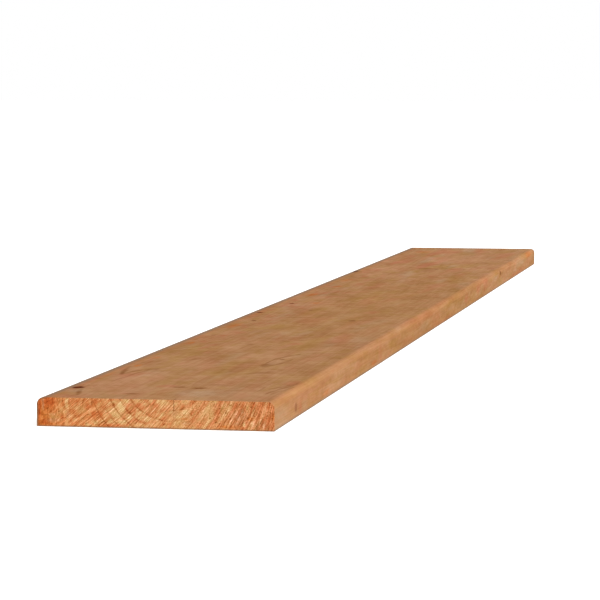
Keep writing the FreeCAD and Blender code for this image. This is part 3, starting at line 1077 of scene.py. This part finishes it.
# The marks: torn wood is pale, smooth wood and the rings' hard lines are dull
broken = ramp(lumps(place, (5.0, 8.0, 5.0)), -0.30, 0.15, 0.30, 1.0) * ramp(x, -46.0, -40.0, 0.10, 1.0)
broken = broken * ramp(x, -2.0, 16.0, 1.0, 0.30) * (1.0 - patch["plain"])
pale = greater(torn * 0.80, ramp(speck, -0.10, -0.34) * rough * 0.60)
pale = greater(pale, bitten["torn"])
dull = greater(smooth * 0.80, ramp(speck, 0.10, 0.38) * ramp(x, 8.0, 18.0, 0.30, 1.0) * 0.55)
dull = greater(dull, ring["Line"] * broken * 0.85)
dull = greater(dull, greater(bitten["dark"] * 1.15, patch["dark"]))
tone = 1.0 + stroke * 1.40 + fibre["Pore"] * ramp(x, 8.0, 20.0, 0.50, 0.80) + upright * 0.7
tone = tone * (1.0 + pale * 0.38) * (1.0 - dull * 0.56)
colour = brightened(colour, tone, green=1.47, blue=2.3)
colour = blend(knot["Core"], colour, KNOT_WOOD)

# Painted shade on the corners: the left edge, the round above it and the lower edge are darkened
sawn_edge_shade = greater(ramp(x + HALF_WIDTH, 2.1, 0.5), ramp(z, 1.7, 0.4, 0.0, 0.85))
round_x = x + HALF_WIDTH - UPPER_ROUND
round_z = z - THICKNESS + UPPER_ROUND
from_round = root(round_x * round_x + round_z * round_z)
sawn_edge_shade = greater(sawn_edge_shade, ramp(from_round, 3.4, 4.9) * ramp(round_x, 3.0, 0.0) * ramp(round_z, -1.0, 1.0))
# The painted shade laid over the end's edges
colour = blend(sawn_edge_shade * 0.75, colour, END_EDGE_SHADE)
# Painted shade in the check: its walls and lips darkened
colour = blend(check_shade(x, y, z) * 0.60, colour, LINE_BROWN)
feed(tree, shader.inputs["Base Color"], colour)
feed(tree, shader.inputs["Roughness"], 0.80 - ring["Summer"] * 0.12 - smooth * 0.1)
grain = ring["Summer"] * 0.3 + torn * 0.4 + stroke * 0.25 + fibre["Pore"] * 0.25 - smooth * 0.2
raise_grain(tree, shader, grain, 0.05)

mesh.materials.append(planed)
mesh.materials.append(sawn)
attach(plank, "root")
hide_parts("plank")

# The stage
# A pale floor that the camera sees as plain white, with the board's own soft shadow left on it, under an
# even white sky.

FLOOR_HALF = 40.0
FLOOR_BELOW = 0.0002
FLOOR_GREY = 0.86
FLOOR_LIFT = 0.80
SKY_LIGHT = 0.27
SKY_SEEN = 1.0


def seen_directly(tree):
    """1 where the camera sees a thing, also in metal or through glass, and 0 where it lights others."""
    rays = tree.nodes.new("ShaderNodeLightPath").outputs
    seen = greater(Reading(tree, rays["Is Camera Ray"]), Reading(tree, rays["Is Glossy Ray"]))
    return greater(seen, Reading(tree, rays["Is Transmission Ray"]))


floor_mesh = bpy.data.meshes.new("floor")
floor_corners = [(-FLOOR_HALF, -FLOOR_HALF, 0), (FLOOR_HALF, -FLOOR_HALF, 0)]
floor_corners += [(FLOOR_HALF, FLOOR_HALF, 0), (-FLOOR_HALF, FLOOR_HALF, 0)]
floor_mesh.from_pydata(floor_corners, [], [(0, 1, 2, 3)])
floor = bpy.data.objects.new("floor", floor_mesh)
floor.location.z = -FLOOR_BELOW
bpy.context.collection.objects.link(floor)
floor_paint, tree, shader = new_finish("floor paint", 0.9, 0.0)
shader.inputs["Base Color"].default_value = (FLOOR_GREY, FLOOR_GREY, FLOOR_GREY, 1.0)
feed(tree, shader.inputs["Emission Color"], seen_directly(tree))
shader.inputs["Emission Strength"].default_value = FLOOR_LIFT
floor_mesh.materials.append(floor_paint)

world = bpy.data.worlds.new("studio")
bpy.context.scene.world = world
world.use_nodes = True
tree = world.node_tree
background = tree.nodes["Background"]
background.inputs["Color"].default_value = (1.0, 1.0, 1.0, 1.0)
feed(tree, background.inputs["Strength"], seen_directly(tree) * (SKY_SEEN - SKY_LIGHT) + SKY_LIGHT)

# One large soft lamp stands low to the right of the near end, so that the near end and the right edge
# are lighter than the upper face.
KEY_FROM = Vector((0.535, -0.48, 0.58))
KEY_STRENGTH = 2.88
KEY_SPREAD = 30.0
KEY_AWAY = 4

key_data = bpy.data.lights.new("key light", "SUN")
key_data.energy = KEY_STRENGTH
key_data.angle = math.radians(KEY_SPREAD)
key = bpy.data.objects.new("key light", key_data)
key.rotation_mode = "QUATERNION"
key.rotation_quaternion = KEY_FROM.to_track_quat("Z", "Y")
key.location = KEY_FROM * KEY_AWAY
bpy.context.collection.objects.link(key)

# The camera stands low beyond the near end, to the right of the board, with a long lens
CAMERA_PLACE = (441.27, -1819.0, 235.83)
CAMERA_TURN = 10.561
CAMERA_DIP = 4.479
LENS = 163.38
SENSOR = 36.0

camera_data = bpy.data.cameras.new("camera")
camera_data.lens = LENS
camera_data.sensor_width = SENSOR
camera_data.clip_end = 200.0
camera = bpy.data.objects.new("camera", camera_data)
camera.location = (Vector(CAMERA_PLACE) + Vector((0, NEAR_END, 0))) * MM
camera.rotation_euler = (math.radians(90 - CAMERA_DIP), 0.0, math.radians(CAMERA_TURN))
bpy.context.collection.objects.link(camera)
bpy.context.scene.camera = camera
bpy.context.scene.view_settings.view_transform = "Standard"

bpy.context.view_layer.update()
